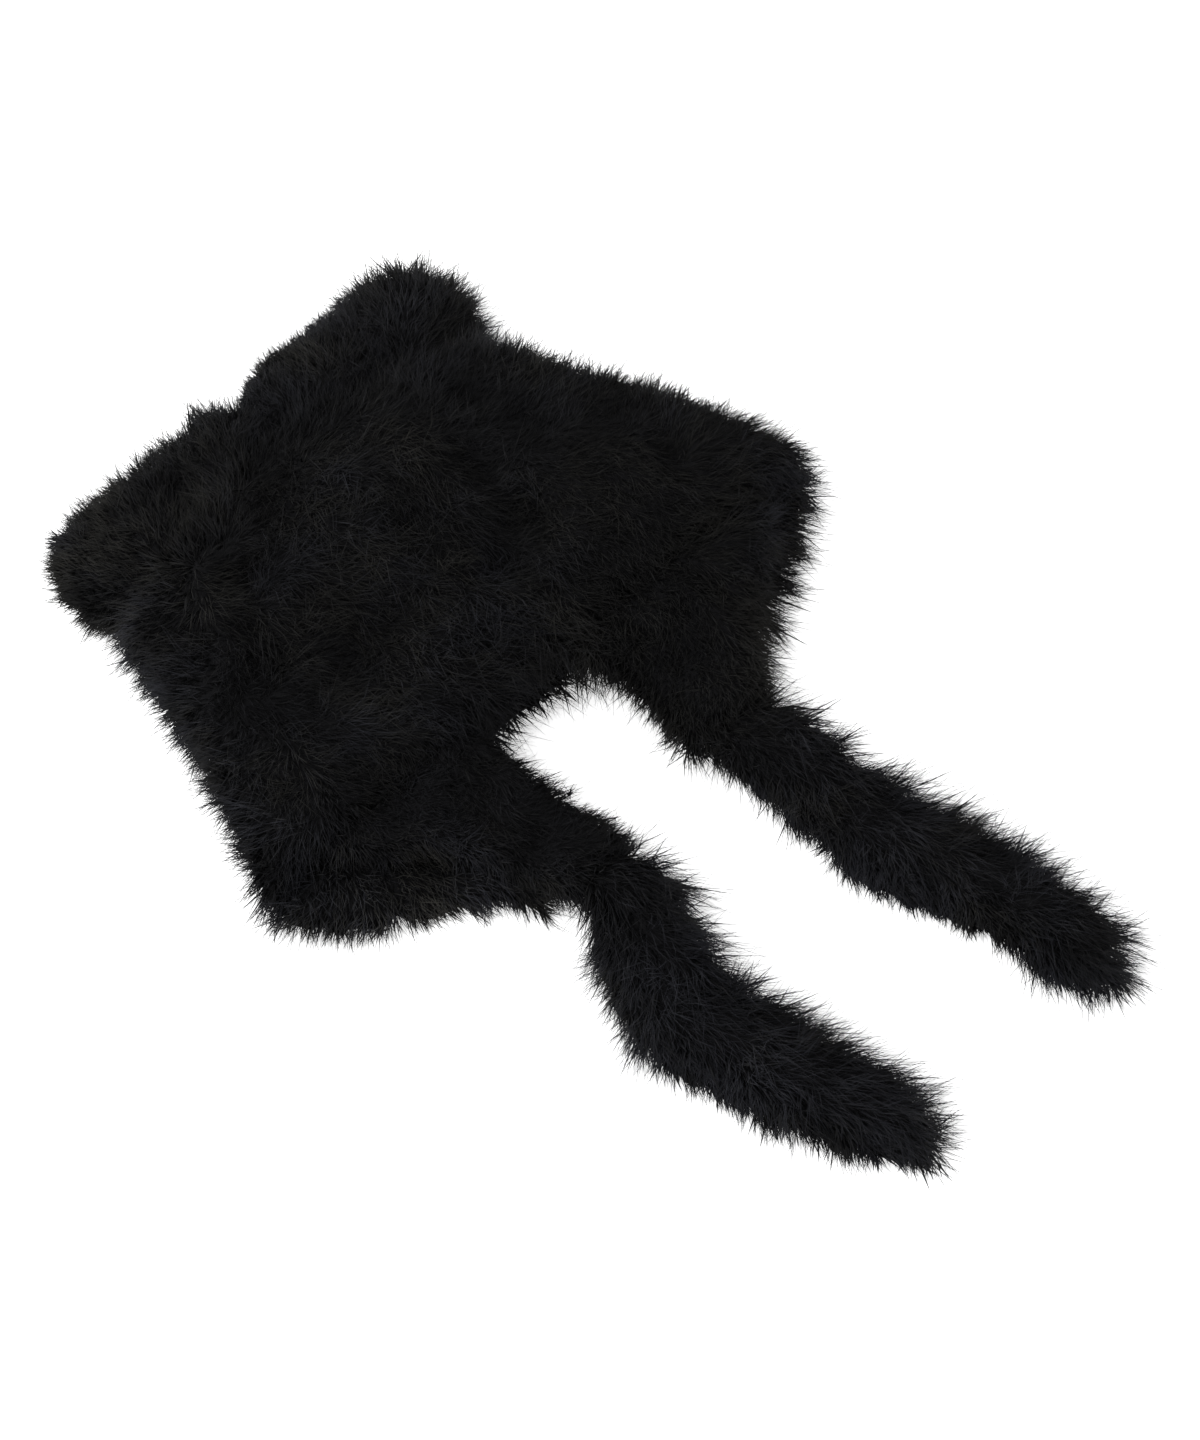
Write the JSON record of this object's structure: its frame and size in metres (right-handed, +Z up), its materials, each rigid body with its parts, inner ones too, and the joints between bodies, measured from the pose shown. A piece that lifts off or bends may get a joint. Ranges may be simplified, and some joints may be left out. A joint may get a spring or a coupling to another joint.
{
  "type": "cat ear earflap cap",
  "caption": "Soft long-pile knitted cap with two rounded cat ears, earflaps and long furry ties, lying flat on its back panel.",
  "frame": {"origin": "on the flat underside of the crown, on its middle line, halfway from the ear seam to the brim", "axes": "+X across the cap, from the left ear to the right ear as seen from above; +Y from the ties towards the ears; +Z up from the surface the cap lies on"},
  "size_m": [0.3283, 0.4917, 0.0464],
  "materials": {
    "fur_knit": "matte black long-pile fur yarn, knitted"
  },
  "bodies": {
    "root": {"crown": "fur_knit", "ear_left": "fur_knit", "ear_right": "fur_knit", "flap_left": "fur_knit", "flap_right": "fur_knit", "tie_left": "fur_knit", "tie_right": "fur_knit"}
  },
  "joints": []
}
